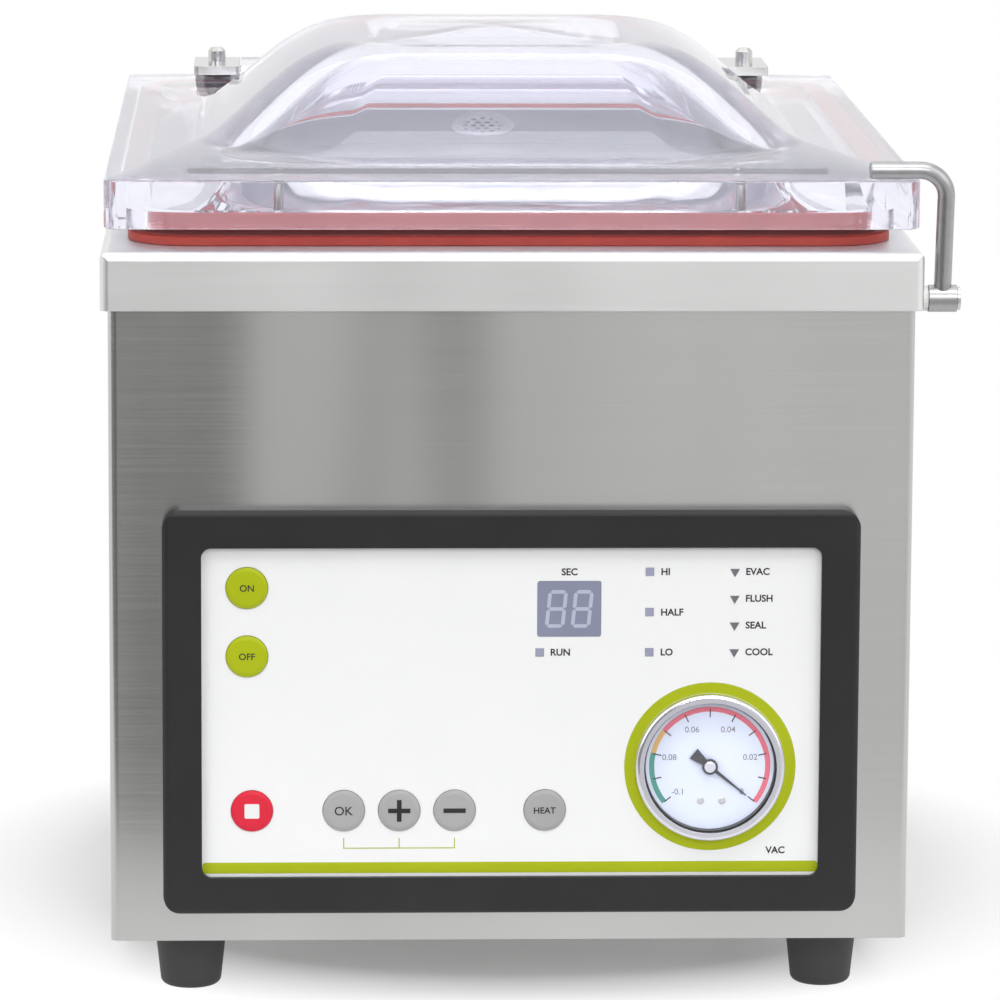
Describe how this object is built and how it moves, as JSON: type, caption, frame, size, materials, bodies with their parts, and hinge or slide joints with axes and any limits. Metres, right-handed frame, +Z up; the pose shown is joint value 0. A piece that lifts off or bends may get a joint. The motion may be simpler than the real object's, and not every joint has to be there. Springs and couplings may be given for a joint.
{
  "type": "vacuum chamber sealer",
  "caption": "Table-top vacuum chamber sealer: steel cabinet, hinged clear domed lid with gasket, latch hook, seal bar, and a front panel with keys, display and vacuum gauge.",
  "frame": {"origin": "on the table, under the middle of the whole machine's box", "axes": "+X to the right seen from the front, +Y to the back, +Z up"},
  "size_m": [0.3452, 0.4838, 0.3789],
  "materials": {
    "brushed_steel": "vertical brushed grain, satin",
    "bright_steel": "satin to polished",
    "spring_steel": "drawn wire",
    "alloy": "machined",
    "heating_alloy": "rolled strip",
    "brown_tape": "coated glass cloth",
    "clear_acrylic": "clear polished acrylic",
    "red_rubber": "matt silicone rubber",
    "grey_silicone": "matt silicone rubber",
    "black_rubber": "matt",
    "white_nylon": "turned nylon",
    "charcoal_plastic": "fine moulded grain",
    "black_plastic": "moulded",
    "white_overlay": "satin printed film",
    "green_key": "satin film",
    "red_key": "satin film",
    "grey_key": "satin film",
    "display_plastic": "smoked window",
    "square_lamp": "tinted lens, unlit",
    "arrow_lamp": "tinted lens, unlit",
    "circuit_board": "solder mask",
    "gauge_steel": "painted",
    "dial_white": "printed enamel",
    "needle_black": "black",
    "clear_glass": "clear",
    "chrome_ring": "polished",
    "pump_iron": "painted casting",
    "winding_iron": "varnished"
  },
  "bodies": {
    "cabinet": {"outer_shell": "brushed_steel", "rear_panel": "brushed_steel", "base_plate": "brushed_steel", "rubber_feet": "black_rubber", "foot_screws": "bright_steel", "panel_screws": "bright_steel", "top_deck": "brushed_steel", "chamber_tub": "bright_steel", "port_cover": "bright_steel", "seal_cups": "alloy", "hinge_shaft": "bright_steel", "hinge_stand_left": "alloy", "hinge_stand_right": "alloy", "stand_screws": "bright_steel", "lid_springs": "spring_steel", "latch_pin": "bright_steel", "latch_spacer": "white_nylon", "panel_bezel": "charcoal_plastic", "panel_overlay": "white_overlay", "display_window": "display_plastic", "level_lamps": "square_lamp", "stage_lamps": "arrow_lamp", "control_board": "circuit_board", "gauge_case": "gauge_steel", "gauge_dial": "dial_white", "gauge_glass": "clear_glass", "gauge_ring": "chrome_ring", "gauge_hose": "black_rubber", "power_inlet": "black_plastic", "fuse_holder": "black_plastic", "pump_block": "pump_iron", "motor_housing": "pump_iron", "fan_grille": "black_plastic", "mist_filter": "black_plastic", "vacuum_valve": "alloy", "vacuum_hose": "black_rubber", "transformer": "winding_iron"},
    "lid": {"lid": "clear_acrylic", "lid_gasket": "red_rubber", "counter_bar": "alloy", "counter_pad": "grey_silicone", "counter_screws": "bright_steel", "hinge_arm_left": "bright_steel", "hinge_arm_right": "bright_steel", "lid_washers": "black_rubber", "lid_bolts": "bright_steel", "lid_nuts": "bright_steel"},
    "latch": {"latch_hook": "bright_steel"},
    "needle": {"gauge_needle": "needle_black"},
    "sealing_bar": {"seal_bar": "alloy", "seal_strip": "heating_alloy", "seal_tape": "brown_tape"},
    "rotor": {"motor_rotor": "bright_steel"},
    "start_button": {"key_start": "green_key"},
    "halt_button": {"key_halt": "green_key"},
    "stop_button": {"key_stop": "red_key"},
    "set_button": {"key_set": "grey_key"},
    "plus_button": {"key_plus": "grey_key"},
    "minus_button": {"key_minus": "grey_key"},
    "temp_button": {"key_temp": "grey_key"}
  },
  "joints": [
    {"name": "lid_hinge", "type": "hinge", "parent": "cabinet", "child": "lid", "pos_m": [-0.00765, 0.19165, 0.3324], "axis": [-1, 0, 0], "range_deg": [0, 50], "deforming": ["lid_springs"]},
    {"name": "latch_turn", "type": "hinge", "parent": "cabinet", "child": "latch", "pos_m": [0.16555, -0.22385, 0.2884], "axis": [1, 0, 0], "range_deg": [0, 140]},
    {"name": "needle_turn", "type": "hinge", "parent": "cabinet", "child": "needle", "pos_m": [0.07295, -0.23725, 0.099], "axis": [0, -1, 0], "range_deg": [0, 258], "stiffness_Nm_per_rad": 0.0005},
    {"name": "seal_bar_lift", "type": "slide", "parent": "cabinet", "child": "sealing_bar", "axis": [0, 0, 1], "range_m": [0, 0.008]},
    {"name": "rotor_spin", "type": "hinge", "parent": "cabinet", "child": "rotor", "pos_m": [-0.05045, 0.06965, 0.099], "axis": [1, 0, 0], "continuous": true},
    {"name": "start_press", "type": "slide", "parent": "cabinet", "child": "start_button", "axis": [0, 1, 0], "range_m": [0, 0.0005], "stiffness_N_per_m": 900},
    {"name": "halt_press", "type": "slide", "parent": "cabinet", "child": "halt_button", "axis": [0, 1, 0], "range_m": [0, 0.0005], "stiffness_N_per_m": 900},
    {"name": "stop_press", "type": "slide", "parent": "cabinet", "child": "stop_button", "axis": [0, 1, 0], "range_m": [0, 0.0005], "stiffness_N_per_m": 900},
    {"name": "set_press", "type": "slide", "parent": "cabinet", "child": "set_button", "axis": [0, 1, 0], "range_m": [0, 0.0005], "stiffness_N_per_m": 900},
    {"name": "plus_press", "type": "slide", "parent": "cabinet", "child": "plus_button", "axis": [0, 1, 0], "range_m": [0, 0.0005], "stiffness_N_per_m": 900},
    {"name": "minus_press", "type": "slide", "parent": "cabinet", "child": "minus_button", "axis": [0, 1, 0], "range_m": [0, 0.0005], "stiffness_N_per_m": 900},
    {"name": "temp_press", "type": "slide", "parent": "cabinet", "child": "temp_button", "axis": [0, 1, 0], "range_m": [0, 0.0005], "stiffness_N_per_m": 900}
  ]
}
